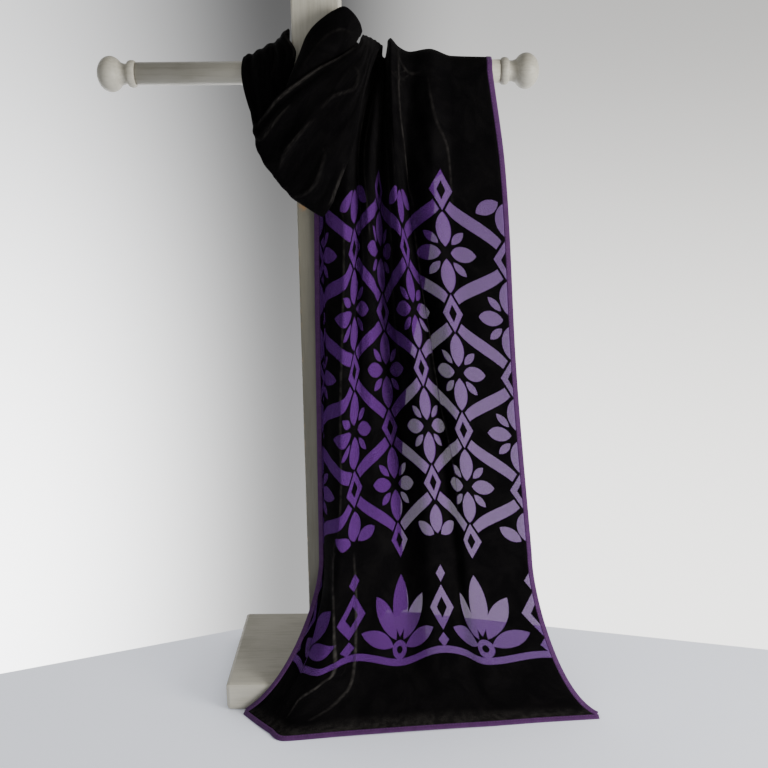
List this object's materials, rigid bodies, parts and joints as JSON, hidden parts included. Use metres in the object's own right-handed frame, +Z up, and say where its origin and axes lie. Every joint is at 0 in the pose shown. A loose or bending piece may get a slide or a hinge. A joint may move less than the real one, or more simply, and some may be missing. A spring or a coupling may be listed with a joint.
{
  "type": "velvet scarf on a wooden display stand",
  "caption": "A long burn-out velvet scarf with a bound edge, wound over the bar of a painted wooden T-shaped display stand and falling to the table in front",
  "frame": {"origin": "centre of the base's flat underside, below the middle of the post", "axes": "+Z up along the post, +X to the right along the bar as the front is seen, +Y away from the viewer, so the front faces -Y"},
  "size_m": [0.5069, 0.2101, 0.735],
  "materials": {
    "stone_paint": "satin off-white paint on wood",
    "black_velvet": "black cut pile with sheer purple burnt-out ground",
    "purple_binding": "narrow folded purple edge binding"
  },
  "bodies": {
    "root": {"stand_base": "stone_paint", "stand_post": "stone_paint", "stand_bar": "stone_paint", "finial_left": "stone_paint", "finial_right": "stone_paint", "scarf_front_fall": "black_velvet", "scarf_back_wrap": "black_velvet", "scarf_swag": "black_velvet", "scarf_top_loop": "black_velvet", "scarf_back_fall": "black_velvet", "binding_right_edge": "purple_binding", "binding_left_edge": "purple_binding", "binding_front_hem": "purple_binding", "binding_back_hem": "purple_binding", "binding_back_left_edge": "purple_binding", "binding_back_right_edge": "purple_binding"}
  },
  "joints": []
}
